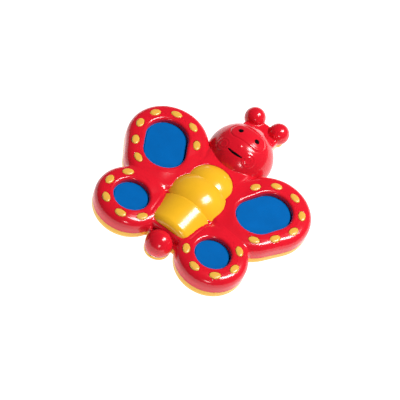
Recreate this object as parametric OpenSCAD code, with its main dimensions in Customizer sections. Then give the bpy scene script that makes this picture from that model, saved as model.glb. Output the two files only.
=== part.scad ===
// Butterfly-housed pull-cord yo-yo: a two-part shell with windows, studs and a
// domed body, and a spring-return cord reel inside it.
// Frame: millimetres, +Z up, +Y towards the head, origin on the flat underside at the reel's axis.

/* [Shell] */
// Height of the plane where the two shells meet
joint_z = 6.8; // [6.4:0.1:7.2]
// Height of the flat deck between the wings
deck_z = 14.4; // [14.2:0.1:14.8]
// Height of the crest of the wing rims
rim_z = 15.5; // [15.3:0.1:16]
// Wall thickness of both shells
wall = 2; // [1.8:0.1:2.2]
// Radius on the outer edge of the upper shell
top_round = 5.2; // [5:0.1:5.4]
// Radius on the outer edge of the lower shell
foot_round = 4.4; // [4.2:0.1:4.6]

/* [Upper wings] */
// Centre of the right upper wing, across
upper_x = 30.3; // [29.8:0.1:30.8]
// Centre of the upper wings, along
upper_y = 15.9; // [15.5:0.1:16.3]
// End radius of the upper wings
upper_r = 22.5; // [22:0.1:23]
// Half the straight length of the upper wings
upper_half = 6.2; // [5.6:0.1:6.8]
// Angle of the right upper wing's long axis from +X
upper_tilt = 58; // [55:1:61]

/* [Lower wings] */
// Centre of the right lower wing, across
lower_x = 26.2; // [25.8:0.1:26.6]
// Centre of the lower wings, along
lower_y = -23.2; // [-23.6:0.1:-22.8]
// Radius of the lower wings
lower_r = 19.2; // [18.8:0.1:19.6]

/* [Windows] */
// Centre of the right upper window, across
upper_win_x = 32.2; // [31.9:0.1:32.5]
// Centre of the upper windows, along
upper_win_y = 16.1; // [15.8:0.1:16.4]
// End radius of the upper windows
upper_win_r = 10.8; // [10.5:0.1:11]
// Half the straight length of the upper windows
upper_win_half = 4.4; // [4:0.1:4.8]
// Angle of the right upper window's long axis from +X
upper_win_tilt = 63; // [61:1:65]
// Centre of the right lower window, across
lower_win_x = 26.1; // [25.8:0.1:26.4]
// Centre of the lower windows, along
lower_win_y = -23.7; // [-24:0.1:-23.4]
// Radius of the lower windows
lower_win_r = 8.9; // [8.6:0.1:9.2]
// Height of the visible face of the window panels
panel_z = 12.6; // [12.5:0.05:12.7]

/* [Studs] */
// Length of a stud along the rim
stud_len = 6.2; // [5.6:0.1:6.6]
// Width of a stud across the rim
stud_wid = 4; // [3.6:0.1:4.2]
// Distance between studs along the rim
stud_pitch = 11.8; // [11.6:0.05:12]
// Distance of the upper studs from the window's spine
upper_stud_r = 16.2; // [16:0.1:16.4]
// Distance of the lower studs from the window's centre
lower_stud_r = 13.9; // [13.7:0.1:14]

/* [Head and ends] */
// Position of the head's centre along the body
head_y = 43.1; // [42.8:0.1:43.4]
// Radius of the head
head_r = 17.9; // [17.6:0.1:18.2]
// Half the distance between the feeler balls
feeler_x = 7.9; // [7.7:0.1:8.2]
// Position of the feeler balls along the body
feeler_y = 69; // [68.6:0.1:69.4]
// Height of the feeler balls' centres
feeler_z = 10.2; // [9.8:0.1:10.4]
// Radius of the feeler balls
feeler_r = 5.9; // [5.7:0.1:6]
// Position of the tail ball along the body
tail_y = -32.5; // [-32.8:0.1:-32.2]
// Height of the tail ball's centre
tail_z = 6; // [5.6:0.1:6.4]
// Radius of the tail ball
tail_r = 7.4; // [7.2:0.1:7.6]

/* [Body cover] */
// Half width of the front segment at the deck
front_half = 11.7; // [11.4:0.1:12]
// Half width of the middle segment at the deck
middle_half = 14.5; // [14.2:0.1:14.8]
// Half width of the rear segment's collar at the deck
rear_half = 12.2; // [12:0.1:12.5]
// Thickness of the body cover's wall
cover_wall = 1.8; // [1.6:0.1:2]

/* [Reel] */
// Radius of the reel's flanges
reel_r = 16.5; // [16:0.1:16.8]
// Radius of the core that the cord winds on
core_r = 11; // [10.6:0.1:11.4]
// Radius of the fixed arbor that the reel turns on
arbor_r = 3.2; // [3:0.1:3.4]
// Turns of the power spring
spring_turns = 6; // [5:1:7]
// Bore radius of the cord guide
cord_bore_r = 1.4; // [1.2:0.1:1.5]

/* [Hidden] */
$fn = 64;

red = [0.85, 0.07, 0.10];
yellow = [0.98, 0.74, 0.10];
blue = [0.0, 0.36, 0.66];
black = [0.05, 0.05, 0.06];
steel = [0.72, 0.73, 0.75];
ivory = [0.93, 0.91, 0.84];

// Parts of a shell start this far past the plane that trims them
spare = 0.5;
// Cutting tools reach this far past what they cut, and this size holds everything
past = 2;
reach = 100;
// Steps of the small rounded edges
edge_steps = 5;
// Steps of a stadium's end and of a stud's outline
end_steps = 16;
stud_steps = 20;

// Clearances
gap = 0.1;
seat_gap = 0.2;
cover_gap = 0.15;
running_gap = 0.05;

// Block that fills the outline between the four wings, and the web beside the tail
block_half = 15;
block_front = 33;
block_back = -23;
web_half = 9.5;
web_back = -31;
web_top = 9;
tail_deck_back = -28.6;
tail_deck_z = 13.4;
// The lower wings' edges are rounded a little tighter than the upper wings', the head's a little wider
lower_tighter = 0.37;
head_wider = 0.3;

// Block that carries the feeler balls
crown_half = 10.5;
crown_front = 69.8;
crown_back = 54;
crown_top = 11;
crown_foot = 3;

// The balls are cut flat where they sit on the lower shell
feeler_cut_z = 5.1;
feeler_bore_r = 3.2;
tail_cut_z = 3.2;

// Feet of the balls on the lower shell
tail_step = 0.3;
tail_round = 1.5;
nub_r = 4.2;
nub_round = 1.2;

// Windows: lip radius, collar under the deck, panel flange
lip_round = 1.9;
collar_w = 1.5;
collar_z = 12.25;
panel_flange = 2.4;
panel_t = 1.4;
panel_foot_z = collar_z - gap - panel_t;

// Stud strips
upper_stud_start = -0.9;
upper_stud_count = 7;
lower_stud_count = 5;
lower_stud_tilt = -44.5;
strip_z = 11.6;
strip_t = 1;
strip_half = 1.9;
strip_margin = 3.2;
lower_stud_step = stud_pitch / lower_stud_r * 180 / PI;
upper_strip_end = -138;
stud_top = rim_z + 0.55;
stud_dome_r = 7;

// Segments of the body cover: spheres and a barrel about one low axis
cover_axis_z = 1;
front_y = 12;
middle_y = 0.5;
collar_y = -8.4;
barrel_y = -22.4;
barrel_drop = 1.3;
barrel_end_r = 4.8;
collar_edge = 0.8;
collar_len = 7;
collar_taper = 0.3;
flange_z = 11.2;
flange_t = 1.1;
flange_w = 3.4;
flange_back = -20.5;
waist_front = -4;
waist_half = 12.8;
deck_over_axis = deck_z - cover_axis_z;

// Case screws: two in the head either side of the cord, one in the tail, pairs at the shoulders and waist
screw_spots = [[9, 48], [-9, 48], [0, tail_y], [13.9, 27.2], [-13.9, 27.2], [22, -6], [-22, -6]];
screw_r = 1.4;
screw_head_r = 2.6;
screw_head_t = 1.6;
screw_sink = 0.5;
screw_tip_z = 11.2;
tail_screw_tip_z = 9.5;
boss_r = 2.8;
post_r = 3.6;
boss_wall = 1.4;

// Props that hold the window panels up against their collars
prop_r = 3.4;
prop_x = 6;

// Reel levels
reel_z = 3.6;
reel_room = 0.6;
reel_pocket_z = 2.3;
reel_flange_t = 1;
cord_gap = 4;
reel_top = reel_z + 2 * reel_flange_t + cord_gap;
core_wall = 1.2;
reel_cover_t = 0.9;
arbor_foot_z = 3.1;
arbor_top = reel_top + reel_cover_t + 0.2;
washer_t = 0.5;
washer_r = 4.8;
spindle_r = 1.25;
spindle_head_r = 3;
spindle_head_t = 1.8;
spring_t = 0.3;
spring_h = 3.6;
spring_z = reel_z + reel_flange_t + seat_gap;
chamber_r = core_r - core_wall;
lid_lip_t = 0.8;
hole_count = 6;
hole_r = 1.6;
hole_ring_r = 7;
knot_r = 0.8;
knot_angle = 25;

// Cord guide, clamped between the shells
guide_z = joint_z;
guide_front = crown_front + 1;
guide_len = 5;
guide_neck_r = 2.1;
guide_flange_r = 2.7;
guide_flange_t = 1;

// Face
eye_r = 1.05;
eye_lon = 17;
eye_tip = 6;
eye_depth = 1.2;
eye_proud = 0.15;
pin_gap = 0.03;
mouth_r = 0.34;
mouth_cone = 54.8;
mouth_lean = 17.7;
mouth_span = 39;

function arc(cx, cy, r, a0, a1, n) =
    [for (i = [0:n]) let (a = a0 + (a1 - a0) * i / n) [cx + r * cos(a), cy + r * sin(a)]];

function ellipse_points(a, b, n) = [for (i = [0:n - 1]) [a * cos(360 * i / n), b * sin(360 * i / n)]];

// Outline of a stadium with its long axis on X
function stadium_points(r, half, n) = concat(arc(half, 0, r, -90, 90, n), arc(-half, 0, r, 90, 270, n));

// Place and heading of a point s along a stadium's edge, clockwise from the end of its far straight
function edge_point(s, r, half) =
    let (arc_len = PI * r)
    s < 0 ? [half + s, r, 0]
    : s < arc_len ? let (a = 90 - 180 * s / arc_len) [half + r * cos(a), r * sin(a), a - 90]
    : s < arc_len + 2 * half ? [half - (s - arc_len), -r, 180]
    : let (a = -90 - 180 * (s - arc_len - 2 * half) / arc_len) [-half + r * cos(a), r * sin(a), a - 90];

// Radial profile of a body that is rounded at its upper edge
module rounded_profile(r, z0, z1, round_r) {
    edge = arc(r - round_r, z1 - round_r, round_r, 0, 90, edge_steps);
    polygon(concat([[0, z0], [r, z0]], edge, [[0, z1]]));
}

// Radial profile of the tool that cuts a window: straight walls and a flared lip
module window_profile(r) {
    polygon(concat([[0, joint_z], [r, joint_z]],
        arc(r + lip_round, rim_z - lip_round, lip_round, 180, 90, edge_steps - 1),
        [[r + lip_round, rim_z + past], [0, rim_z + past]]));
}

// Sweeps a radial profile round a stadium with its long axis on X
module stadium_sweep(half) {
    for (turn = [0, 180]) {
        rotate(turn) translate([half, 0, 0]) rotate(-90) rotate_extrude(angle = 180) children();
    }
    rotate([90, 0, 90]) linear_extrude(2 * half, center = true) {
        children();
        mirror([1, 0]) children();
    }
}

module both_sides() {
    children();
    mirror([1, 0, 0]) children();
}

module at_upper_wing() translate([upper_x, upper_y, 0]) rotate(upper_tilt) children();
module at_lower_wing() translate([lower_x, lower_y, 0]) children();
module at_upper_window() translate([upper_win_x, upper_win_y, 0]) rotate(upper_win_tilt) children();
module at_lower_window() translate([lower_win_x, lower_win_y, 0]) children();
module at_case_screws() for (p = screw_spots) translate([p[0], p[1], 0]) children();

// The four wings between two heights, rounded at the top and inset by d
module wings_up(d, z0, z1, round_r) {
    both_sides() {
        at_upper_wing() stadium_sweep(upper_half) rounded_profile(upper_r - d, z0, z1, round_r);
        at_lower_wing() rotate_extrude() rounded_profile(lower_r - d, z0, z1, round_r - lower_tighter);
    }
}

// Everything below or above a height
module below(z) translate([-reach, -reach, z - reach]) cube([2 * reach, 2 * reach, reach]);
module above(z) translate([-reach, -reach, z]) cube([2 * reach, 2 * reach, reach]);

module box_between(x, y0, y1, z0, z1) translate([-x, y0, z0]) cube([2 * x, y1 - y0, z1 - z0]);

module feeler_balls(grow) {
    both_sides() translate([feeler_x, feeler_y, feeler_z]) sphere(feeler_r + grow);
}

module tail_ball(grow) translate([0, tail_y, tail_z]) sphere(tail_r + grow);

// Radial profile of the rear segment: a barrel that tapers from its collar to a rounded end
module barrel_profile(d) {
    collar_r = norm([rear_half, deck_over_axis]) + d;
    end_r = collar_r - barrel_drop;
    polygon(concat([[0, -collar_y - d], [collar_r - collar_edge, -collar_y - d],
        [collar_r, collar_edge - collar_y - d], [collar_r - collar_taper, collar_len - collar_y]],
        arc(end_r - barrel_end_r - d, -barrel_y, barrel_end_r + d, 0, 90, edge_steps),
        [[0, barrel_end_r + d - barrel_y]]));
}

// The three segments of the body cover, grown by d
module cover_lobes(d) {
    translate([0, front_y, cover_axis_z]) sphere(norm([front_half, deck_over_axis]) + d);
    translate([0, middle_y, cover_axis_z]) sphere(norm([middle_half, deck_over_axis]) + d);
    translate([0, 0, cover_axis_z]) rotate([90, 0, 0]) rotate_extrude() barrel_profile(d);
}

// Plan of the body cover's flange, narrow at the waist and ending ahead of the tail's walls
module cover_footprint() {
    difference() {
        union() {
            translate([0, front_y]) circle(front_half + flange_w);
            translate([0, middle_y]) circle(middle_half + flange_w);
        }
        translate([-reach, waist_front - reach]) square([2 * reach, reach]);
    }
    translate([-waist_half, flange_back]) square([2 * waist_half, waist_front - flange_back + spare]);
}

module window_cutters() {
    both_sides() {
        at_upper_window() stadium_sweep(upper_win_half) window_profile(upper_win_r);
        at_lower_window() rotate_extrude() window_profile(lower_win_r);
    }
}

// Plates under the windows: the window cutters turn them into collars that bear on the panels
module window_collars() {
    top = rim_z - wall + spare;
    both_sides() {
        at_upper_window() translate([0, 0, collar_z]) linear_extrude(top - collar_z)
            polygon(stadium_points(upper_win_r + collar_w, upper_win_half, end_steps));
        at_lower_window() translate([0, 0, collar_z])
            cylinder(top - collar_z, r = lower_win_r + collar_w);
    }
}

// Oval columns at the studs of one wing, set along the edge of a stadium
module stud_columns(r, half, start, count, grow, z0, z1) {
    for (i = [0:count - 1]) {
        p = edge_point(start + i * stud_pitch, r, half);
        translate([p[0], p[1], z0]) rotate(p[2]) linear_extrude(z1 - z0)
            polygon(ellipse_points(stud_len / 2 + grow, stud_wid / 2 + grow, stud_steps));
    }
}

module upper_stud_columns(grow, z0, z1) {
    at_upper_window() stud_columns(upper_stud_r, upper_win_half, upper_stud_start,
        upper_stud_count, grow, z0, z1);
}

module lower_stud_columns(grow, z0, z1) {
    at_lower_window() rotate(lower_stud_tilt)
        stud_columns(lower_stud_r, 0, 0, lower_stud_count, grow, z0, z1);
}

// Eye pins stand out of the head's surface
module eye_pins(grow) {
    for (side = [-1, 1]) {
        translate([0, head_y, joint_z]) rotate([0, side * eye_lon, 0]) rotate([-eye_tip, 0, 0])
            translate([0, 0, head_r - eye_depth]) cylinder(eye_depth + eye_proud + grow, r = eye_r + grow);
    }
}

// The smile: an arc of a small circle of the head's sphere
module smile(r) {
    translate([0, head_y, joint_z]) rotate([-mouth_lean, 0, 0]) rotate(-90 - mouth_span / 2)
        rotate_extrude(angle = mouth_span)
            translate([head_r * sin(mouth_cone), head_r * cos(mouth_cone)]) circle(r, $fn = 24);
}

// Cross recess of a screw, cut as deep as it is wide
module cross_recess(size) {
    for (a = [0, 90]) rotate(a) cube([size, size / 4, size / 2], center = true);
}

module case_screw(tip_z) {
    shank_z = screw_sink + screw_head_t / 2;
    difference() {
        union() {
            translate([0, 0, screw_sink]) cylinder(screw_head_t, r = screw_head_r);
            translate([0, 0, shank_z]) cylinder(tip_z - shank_z, r = screw_r);
        }
        translate([0, 0, screw_sink]) cross_recess(1.2 * screw_head_r);
    }
}

module top_shell() {
    color(red) difference() {
        union() {
            difference() {
                top_outside();
                top_inside();
            }
            window_collars();
            intersection() {
                top_bosses();
                top_outside();
            }
        }
        window_cutters();
        both_sides() {
            upper_stud_columns(gap, strip_z - seat_gap, rim_z + past);
            lower_stud_columns(gap, strip_z - seat_gap, rim_z + past);
        }
        cover_lobes(cover_gap);
        eye_pins(pin_gap);
        smile(mouth_r);
        at_case_screws() cylinder(screw_tip_z + spare, r = screw_r);
        cord_way();
    }
}

module top_outside() {
    foot_z = joint_z - spare;
    difference() {
        union() {
            wings_up(0, foot_z, rim_z, top_round);
            box_between(block_half, block_back, block_front, foot_z - 0.1, deck_z);
            box_between(web_half, web_back, block_back, foot_z - 0.2, web_top);
            box_between(web_half, tail_deck_back, block_back, foot_z - 0.3, tail_deck_z);
            box_between(crown_half, crown_back, crown_front, foot_z - 0.4, crown_top);
            translate([0, head_y, joint_z]) sphere(head_r);
        }
        below(joint_z);
    }
    difference() {
        feeler_balls(0);
        below(feeler_cut_z);
    }
    difference() {
        tail_ball(0);
        below(tail_cut_z);
    }
}

module top_inside() {
    floor_z = joint_z - spare;
    wings_up(wall, floor_z, rim_z - wall, top_round - wall);
    box_between(block_half - wall, block_back + wall, block_front - wall, floor_z, deck_z - wall);
    box_between(web_half - wall, tail_deck_back + wall, block_back + wall + spare,
        floor_z, tail_deck_z - wall);
    difference() {
        translate([0, head_y, joint_z]) sphere(head_r - wall);
        below(floor_z);
    }
    both_sides() translate([feeler_x, feeler_y, feeler_cut_z - spare])
        cylinder(2 * (feeler_z - feeler_cut_z) - spare - wall, r = feeler_bore_r);
}

module top_bosses() {
    at_case_screws() translate([0, 0, joint_z + gap]) cylinder(head_r, r = boss_r);
}

// Passage of the cord from the reel to its guide, with the guide's seat
module cord_way() {
    translate([0, head_y, guide_z]) rotate([-90, 0, 0])
        cylinder(crown_front - head_y + spare, r = cord_bore_r + seat_gap);
    guide_seat(gap);
}

module guide_seat(grow) {
    translate([0, guide_front - guide_len - grow, guide_z]) rotate([-90, 0, 0]) {
        cylinder(guide_len + past, r = guide_neck_r + grow);
        cylinder(guide_flange_t + 2 * grow, r = guide_flange_r + grow);
    }
    translate([0, crown_front - grow, guide_z]) rotate([-90, 0, 0])
        cylinder(guide_flange_t + past, r = guide_flange_r + grow);
}

module bottom_shell() {
    color(yellow) difference() {
        union() {
            difference() {
                bottom_outside();
                bottom_inside();
            }
            bottom_posts();
        }
        feeler_balls(seat_gap);
        tail_ball(seat_gap);
        at_case_screws() {
            translate([0, 0, -past]) cylinder(joint_z + 2 * past, r = screw_r + seat_gap);
            translate([0, 0, -past]) cylinder(past + screw_sink + screw_head_t, r = screw_head_r + seat_gap);
        }
        translate([0, 0, wall / 2]) cylinder(arbor_foot_z, r = spindle_r);
        cord_way();
    }
}

// Seen upside down, the lower shell has the same rounded wings as the upper one
module bottom_outside() {
    top = joint_z - gap;
    difference() {
        union() {
            translate([0, 0, top + spare]) mirror([0, 0, 1]) {
                wings_up(0, 0, top + 2 * spare, foot_round);
                translate([0, head_y, 0]) rotate_extrude()
                    rounded_profile(head_r, -0.1, top + 2 * spare, foot_round + head_wider);
            }
            box_between(block_half, block_back, block_front, -spare - 0.1, top + spare + 0.2);
            box_between(web_half, web_back, block_back, -spare - 0.2, top + spare + 0.3);
            box_between(crown_half, crown_back, crown_front, crown_foot, top + spare + 0.4);
            translate([0, tail_y, tail_cut_z - gap]) mirror([0, 0, 1]) rotate_extrude()
                rounded_profile(tail_r - tail_step, 0, tail_cut_z - gap + spare, tail_round);
            both_sides() translate([feeler_x, feeler_y, feeler_cut_z - gap]) mirror([0, 0, 1])
                rotate_extrude() rounded_profile(nub_r, 0, feeler_cut_z - crown_foot + gap, nub_round);
        }
        below(0);
        above(top);
    }
}

module bottom_inside() {
    top = joint_z + spare;
    depth = top - wall;
    translate([0, 0, top]) mirror([0, 0, 1]) {
        wings_up(wall, 0, depth, foot_round - wall);
        translate([0, head_y, 0]) rotate_extrude()
            rounded_profile(head_r - wall, 0, depth, foot_round + head_wider - wall);
    }
    box_between(block_half - wall, block_back + wall, block_front - wall, wall, top + spare);
    translate([0, 0, reel_pocket_z]) cylinder(joint_z, r = reel_r + reel_room);
}

// Screw posts, panel props and the boss that carries the spindle
module bottom_posts() {
    at_case_screws() translate([0, 0, screw_sink]) cylinder(joint_z - gap - screw_sink, r = post_r);
    both_sides() {
        at_upper_window() for (x = [-prop_x, prop_x]) translate([x, 0, wall / 2]) panel_prop();
        at_lower_window() translate([0, 0, wall / 2]) panel_prop();
    }
    translate([0, 0, wall / 2]) cylinder(arbor_foot_z - wall / 2, r = arbor_r + boss_wall);
}

module panel_prop() {
    difference() {
        cylinder(panel_foot_z - gap - wall / 2, r = prop_r);
        translate([0, 0, wall / 2]) cylinder(panel_foot_z, r = prop_r - boss_wall);
    }
}

module body_cover() {
    color(yellow) union() {
        difference() {
            cover_lobes(0);
            cover_lobes(-cover_wall);
            below(flange_z + spare);
        }
        difference() {
            translate([0, 0, flange_z]) linear_extrude(flange_t) cover_footprint();
            cover_lobes(-cover_wall);
            at_case_screws() cylinder(reach, r = boss_r + seat_gap);
        }
    }
}

module upper_panel() {
    at_upper_window() {
        translate([0, 0, panel_foot_z]) linear_extrude(panel_t)
            polygon(stadium_points(upper_win_r + panel_flange, upper_win_half, end_steps));
        translate([0, 0, panel_foot_z + panel_t / 2]) linear_extrude(panel_z - panel_foot_z - panel_t / 2)
            polygon(stadium_points(upper_win_r - gap, upper_win_half, end_steps));
    }
}

module lower_panel() {
    at_lower_window() {
        translate([0, 0, panel_foot_z]) cylinder(panel_t, r = lower_win_r + panel_flange);
        translate([0, 0, panel_foot_z + panel_t / 2])
            cylinder(panel_z - panel_foot_z - panel_t / 2, r = lower_win_r - gap);
    }
}

module panel_upper_right() color(blue) upper_panel();
module panel_upper_left() color(blue) mirror([1, 0, 0]) upper_panel();
module panel_lower_right() color(blue) lower_panel();
module panel_lower_left() color(blue) mirror([1, 0, 0]) lower_panel();

// A row of domed studs on one thin strip under the shell
module upper_studs() {
    near_x = upper_win_half + upper_stud_start - strip_margin;
    far_point = reach * [cos(upper_strip_end), sin(upper_strip_end)] - [upper_win_half, 0];
    intersection() {
        upper_stud_columns(0, strip_z + strip_t / 2, stud_top + past);
        at_upper_window() stadium_sweep(upper_win_half) stud_dome_profile(upper_stud_r);
    }
    at_upper_window() translate([0, 0, strip_z]) linear_extrude(strip_t) difference() {
        polygon(stadium_points(upper_stud_r + strip_half, upper_win_half, end_steps));
        polygon(stadium_points(upper_stud_r - strip_half, upper_win_half, end_steps));
        polygon([[near_x, 0], [near_x, reach], [-reach, reach], far_point, [-upper_win_half, 0]]);
    }
}

module lower_studs() {
    intersection() {
        lower_stud_columns(0, strip_z + strip_t / 2, stud_top + past);
        at_lower_window() rotate_extrude() stud_dome_profile(lower_stud_r);
    }
    strip_end = strip_margin / lower_stud_r * 180 / PI;
    strip_angle = (lower_stud_count - 1) * lower_stud_step + 2 * strip_end;
    at_lower_window() rotate(lower_stud_tilt + 90 + strip_end - strip_angle) translate([0, 0, strip_z])
        rotate_extrude(angle = strip_angle) translate([lower_stud_r - strip_half, 0])
            square([2 * strip_half, strip_t]);
}

// Profile of a rounded ring that gives the studs their domed tops
module stud_dome_profile(r) translate([r, stud_top - stud_dome_r]) circle(stud_dome_r);

module studs_upper_right() color(yellow) upper_studs();
module studs_upper_left() color(yellow) mirror([1, 0, 0]) upper_studs();
module studs_lower_right() color(yellow) lower_studs();
module studs_lower_left() color(yellow) mirror([1, 0, 0]) lower_studs();

module eyes() color(black) eye_pins(0);

module mouth() color(black) smile(mouth_r);

module cord_guide() {
    color(ivory) translate([0, guide_front - guide_len, guide_z]) rotate([-90, 0, 0]) difference() {
        union() {
            cylinder(guide_len, r = guide_neck_r);
            cylinder(guide_flange_t, r = guide_flange_r);
            translate([0, 0, guide_len - guide_flange_t]) cylinder(guide_flange_t, r = guide_flange_r);
        }
        translate([0, 0, -past]) cylinder(guide_len + 2 * past, r = cord_bore_r);
    }
}

// Flanged drum with the spring's chamber in its core, lightening holes and a hole that takes the cord's knot
module reel_drum() {
    color(ivory) translate([0, 0, reel_z]) difference() {
        union() {
            cylinder(reel_flange_t, r = reel_r);
            cylinder(2 * reel_flange_t + cord_gap, r = core_r);
            translate([0, 0, reel_flange_t + cord_gap]) cylinder(reel_flange_t, r = reel_r);
        }
        translate([0, 0, reel_flange_t]) cylinder(reach, r = chamber_r);
        translate([0, 0, -past]) cylinder(reach, r = arbor_r + running_gap);
        for (i = [0:hole_count - 1]) {
            rotate(360 * i / hole_count) translate([hole_ring_r, 0, -past]) cylinder(2 * past, r = hole_r);
        }
        rotate(knot_angle) translate([reel_r - 2 * knot_r, 0, -past]) cylinder(reach, r = knot_r);
    }
}

module reel_cover() {
    color(ivory) translate([0, 0, reel_top]) difference() {
        union() {
            cylinder(reel_cover_t, r = core_r + 1);
            translate([0, 0, -lid_lip_t]) cylinder(lid_lip_t + reel_cover_t / 2, r = chamber_r - gap);
        }
        translate([0, 0, -past]) cylinder(past, r = chamber_r - gap - core_wall);
        translate([0, 0, -past]) cylinder(reach, r = arbor_r + running_gap);
    }
}

// Flat strip wound from the arbor to the wall of the drum's chamber
module power_spring() {
    r0 = arbor_r + 2 * spring_t;
    r1 = chamber_r - spring_t;
    steps = spring_turns * 20;
    function coil(i, d) =
        let (r = r0 + (r1 - r0 - spring_t) * i / steps + d, a = 360 * spring_turns * i / steps)
        [r * cos(a), r * sin(a)];
    color(steel) translate([0, 0, spring_z]) linear_extrude(spring_h) polygon(concat(
        [for (i = [0:steps]) coil(i, spring_t)],
        [for (i = [steps:-1:0]) coil(i, 0)]));
}

// Fixed sleeve with a slot that holds the spring's inner end
module spring_arbor() {
    color(ivory) difference() {
        translate([0, 0, arbor_foot_z]) cylinder(arbor_top - arbor_foot_z, r = arbor_r);
        cylinder(reach, r = spindle_r + pin_gap);
        translate([0, -spring_t, spring_z]) cube([2 * arbor_r, 2 * spring_t, spring_h]);
    }
}

module thrust_washer() {
    color(steel) translate([0, 0, arbor_top]) difference() {
        cylinder(washer_t, r = washer_r);
        translate([0, 0, -past]) cylinder(2 * past, r = spindle_r + gap);
    }
}

module spindle_screw() {
    head_z = arbor_top + washer_t;
    color(steel) difference() {
        union() {
            translate([0, 0, wall / 2]) cylinder(head_z, r = spindle_r);
            translate([0, 0, head_z]) cylinder(spindle_head_t, r = spindle_head_r);
        }
        translate([0, 0, head_z + spindle_head_t]) cross_recess(1.2 * spindle_head_r);
    }
}

module case_screws() {
    color(steel) for (p = screw_spots) {
        translate([p[0], p[1], 0]) case_screw(p[1] < block_back ? tail_screw_tip_z : screw_tip_z);
    }
}

top_shell();
bottom_shell();
body_cover();
panel_upper_right();
panel_upper_left();
panel_lower_right();
panel_lower_left();
studs_upper_right();
studs_upper_left();
studs_lower_right();
studs_lower_left();
eyes();
mouth();
cord_guide();
reel_drum();
reel_cover();
power_spring();
spring_arbor();
thrust_washer();
spindle_screw();
case_screws();
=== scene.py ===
"""Looks of the butterfly-housed cord yo-yo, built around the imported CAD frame.

Shapes are written in millimetres in the part's frame (+Z up, +Y to the head, origin on the flat
underside at the reel's axis). The moulded shells are distance fields, meshed by dual contouring.
"""

import math

import bpy
import numpy as np
from mathutils import Matrix, Vector


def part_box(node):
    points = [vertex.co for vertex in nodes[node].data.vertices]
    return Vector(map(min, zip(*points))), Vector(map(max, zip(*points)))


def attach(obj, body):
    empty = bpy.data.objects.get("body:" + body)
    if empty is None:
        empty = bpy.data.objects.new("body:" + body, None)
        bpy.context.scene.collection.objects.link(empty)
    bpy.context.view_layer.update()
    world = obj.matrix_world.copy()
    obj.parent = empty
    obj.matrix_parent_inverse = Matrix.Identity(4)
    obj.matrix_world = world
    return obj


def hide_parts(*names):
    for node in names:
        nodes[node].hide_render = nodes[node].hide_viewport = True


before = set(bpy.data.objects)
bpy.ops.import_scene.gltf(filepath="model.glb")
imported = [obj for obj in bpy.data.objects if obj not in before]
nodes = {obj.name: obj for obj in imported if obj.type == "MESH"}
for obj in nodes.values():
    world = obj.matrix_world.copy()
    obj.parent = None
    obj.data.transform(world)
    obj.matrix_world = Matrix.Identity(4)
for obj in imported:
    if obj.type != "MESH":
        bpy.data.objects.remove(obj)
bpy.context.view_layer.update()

MM = 0.001
X, Y, Z = 0, 1, 2


def low(node, axis):
    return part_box(node)[0][axis] / MM


def high(node, axis):
    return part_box(node)[1][axis] / MM


def middle(node, axis):
    return (low(node, axis) + high(node, axis)) / 2


# Levels
STUD_CROWN = 0.55
RIM_RISE = 1.1
JOINT_Z = middle("cord_guide", Z)
PANEL_Z = high("panel_lower_right", Z)
RIM_Z = high("studs_lower_right", Z) - STUD_CROWN
DECK_Z = RIM_Z - RIM_RISE
WALL = 2.0
SEAM = 0.12

# Wings and windows of the right side. The openings are 0.6 wider all round than the CAD's.
UPPER_WING = dict(centre=(30.3, 15.9), half=6.2, r=22.5, tilt=math.radians(58))
LOWER_WING = dict(centre=(26.2, -23.2), r=19.2)
UPPER_WINDOW = dict(
    centre=(middle("panel_upper_right", X), middle("panel_upper_right", Y)),
    half=4.4,
    r=11.4,
    tilt=math.radians(63),
)
LOWER_WINDOW = dict(
    centre=(middle("panel_lower_right", X), middle("panel_lower_right", Y)), r=9.5
)
LIP_R = 1.9
LIP_POWER = 2.2
LIP_REACH = 3.0
COLLAR_W = 1.5
COLLAR_Z = PANEL_Z - 0.35

# The block that joins the wings, and the outline's inner fillets
BLOCK_HALF = 15.0
BLOCK_Y = (-23.0, 33.0)
WING_FILLET = 3.0
BLOCK_FILLET = 1.5
TOP_ROUND = 4.7
TOP_POWER = 2.3
FOOT_ROUND = 4.4

# Fillets where one moulded form meets the next
TAIL_FILLET = 1.2
RIDGE_FILLET = 0.8
HEAD_FILLET = 0.35
CROWN_FILLET = 1.4
FEELER_FILLET = 0.8
BALL_FILLET = 0.5
OUTLINE_FILLET = 1.0
PUCK_FILLET = 0.8

# Rim and rings on the deck: (start, end) of each fade, in distance or in place
RIM_FADE = (10.5, 5.5)
BEHIND_BODY = dict(x=(24, 14), y=(-32, -22))
BEFORE_BODY = dict(x=(21, 12), y=(32, 24))
RING_RISE = 0.34
RING_FADE = (8.0, 1.8)
CREST_GAP = 3.8
CREST_SLOPE = 0.13
CREST_DROP = 0.9
MIDLINE_HALF = 9.0
MIDLINE_SHARE = 0.8

# Studs: ovals on a line round each window
STUD_LEN = 6.2
STUD_WID = 4.0
STUD_PITCH = 11.8
UPPER_STUD_R = 16.2
LOWER_STUD_R = 13.9
UPPER_STUD_START = -0.9
UPPER_STUDS = 7
LOWER_STUDS = 5
LOWER_STUD_TILT = math.radians(-44.5)
STRIP_Z = low("studs_lower_right", Z)
STRIP_T = 1.0
STRIP_HALF = 1.9

# Head, feelers, tail
HEAD_R = high("top_shell", Z) - JOINT_Z
HEAD = (0.0, 43.1, JOINT_Z)
HEAD_WIDER = 1.035
HEAD_LONGER = 1.02
FEELER = (7.9, 69.0, 10.2)
FEELER_R = 5.9
FEELER_CUT_Z = 5.1
TAIL = (0.0, -32.5, 6.0)
TAIL_R = 7.4
TAIL_CUT_Z = 3.2

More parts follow.
